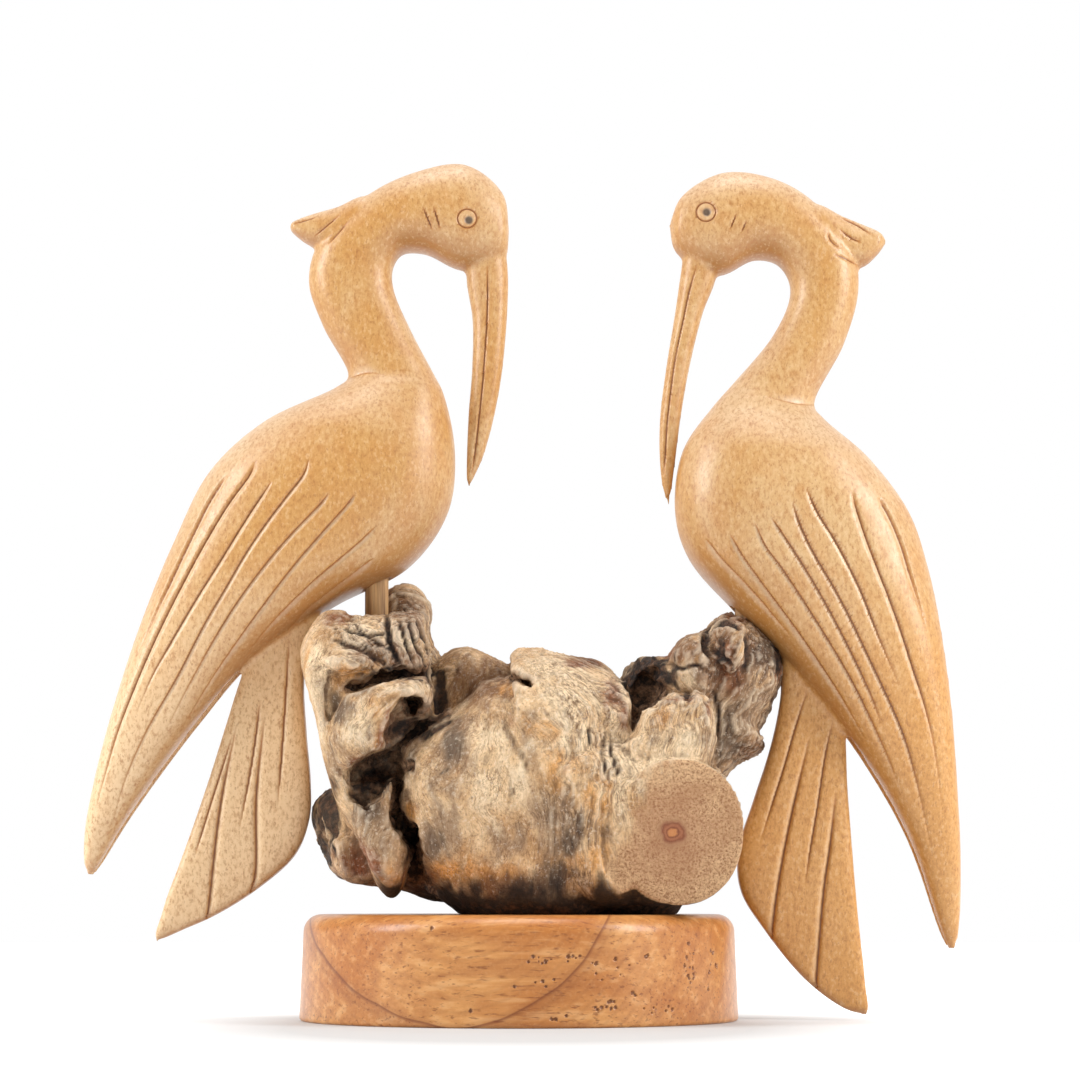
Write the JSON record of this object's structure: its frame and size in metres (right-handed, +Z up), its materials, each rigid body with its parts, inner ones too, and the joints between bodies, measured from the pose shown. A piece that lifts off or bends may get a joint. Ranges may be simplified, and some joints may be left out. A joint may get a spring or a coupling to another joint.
{
  "type": "carved crane pair ornament",
  "caption": "Carved wooden table ornament: long-billed cranes facing each other on pegs in a weathered root burl on a round turned base.",
  "frame": {"origin": "centre of the round base's underside", "axes": "+Z up, +X to the viewer's right from the left bird towards the right bird, -Y towards the viewer"},
  "size_m": [0.2006, 0.1, 0.1984],
  "materials": {
    "base_wood": "oiled satin, orange-brown, with a dark growth line and pore streaks",
    "root_wood": "raw weathered skin, matt, grey-tan with dark rotted hollows",
    "crane_wood": "smooth sanded satin, pale tan with fine pores",
    "peg_wood": "raw straight-grained stick, matt"
  },
  "bodies": {
    "root": {"round_base": "base_wood", "root_burl": "root_wood", "left_crane": "crane_wood", "right_crane": "crane_wood", "left_peg": "peg_wood", "right_peg": "peg_wood"}
  },
  "joints": []
}
